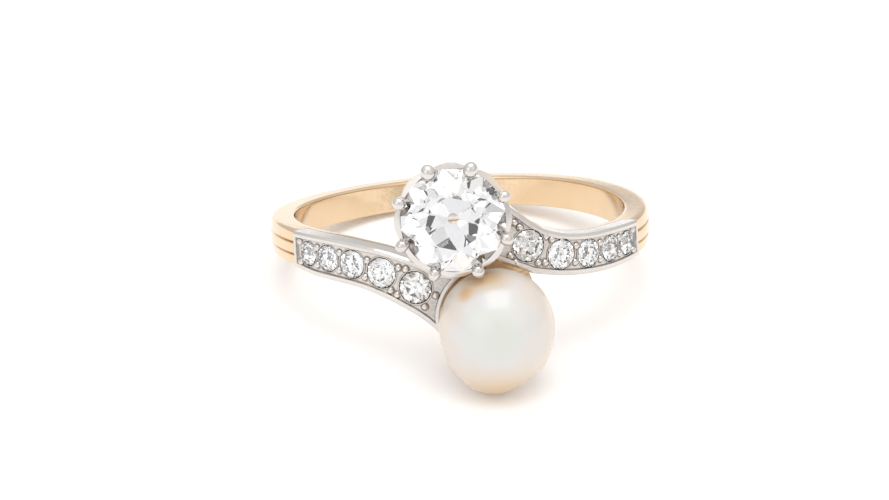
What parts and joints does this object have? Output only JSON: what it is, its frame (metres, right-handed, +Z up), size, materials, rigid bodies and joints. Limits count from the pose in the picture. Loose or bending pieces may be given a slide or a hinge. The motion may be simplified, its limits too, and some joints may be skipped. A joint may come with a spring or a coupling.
{
  "type": "toi et moi ring",
  "caption": "Crossover ring lying on its side: an old cut diamond in a scalloped claw collet beside a pearl, between sweeping shoulders set with small diamonds on a grooved gold hoop.",
  "frame": {"origin": "bottom centre of the bounding box, on the floor that the ring lies on", "axes": "+Z up from the floor, -Y towards the head with the diamond and the pearl, +X to the head's right"},
  "size_m": [0.0198, 0.025, 0.0121],
  "materials": {
    "gold": "polished pale yellow gold",
    "platinum": "polished platinum, worn soft",
    "diamond": "clear faceted diamond",
    "small_diamonds": "clear faceted diamond",
    "pearl": "nacre, cream with golden patches"
  },
  "bodies": {
    "root": {"shank": "gold", "left_shoulder": "platinum", "right_shoulder": "platinum", "collet": "platinum", "diamond": "diamond", "pearl": "pearl", "left_stone_1": "small_diamonds", "left_stone_2": "small_diamonds", "left_stone_3": "small_diamonds", "left_stone_4": "small_diamonds", "left_stone_5": "small_diamonds", "right_stone_1": "small_diamonds", "right_stone_2": "small_diamonds", "right_stone_3": "small_diamonds", "right_stone_4": "small_diamonds", "right_stone_5": "small_diamonds"}
  },
  "joints": []
}
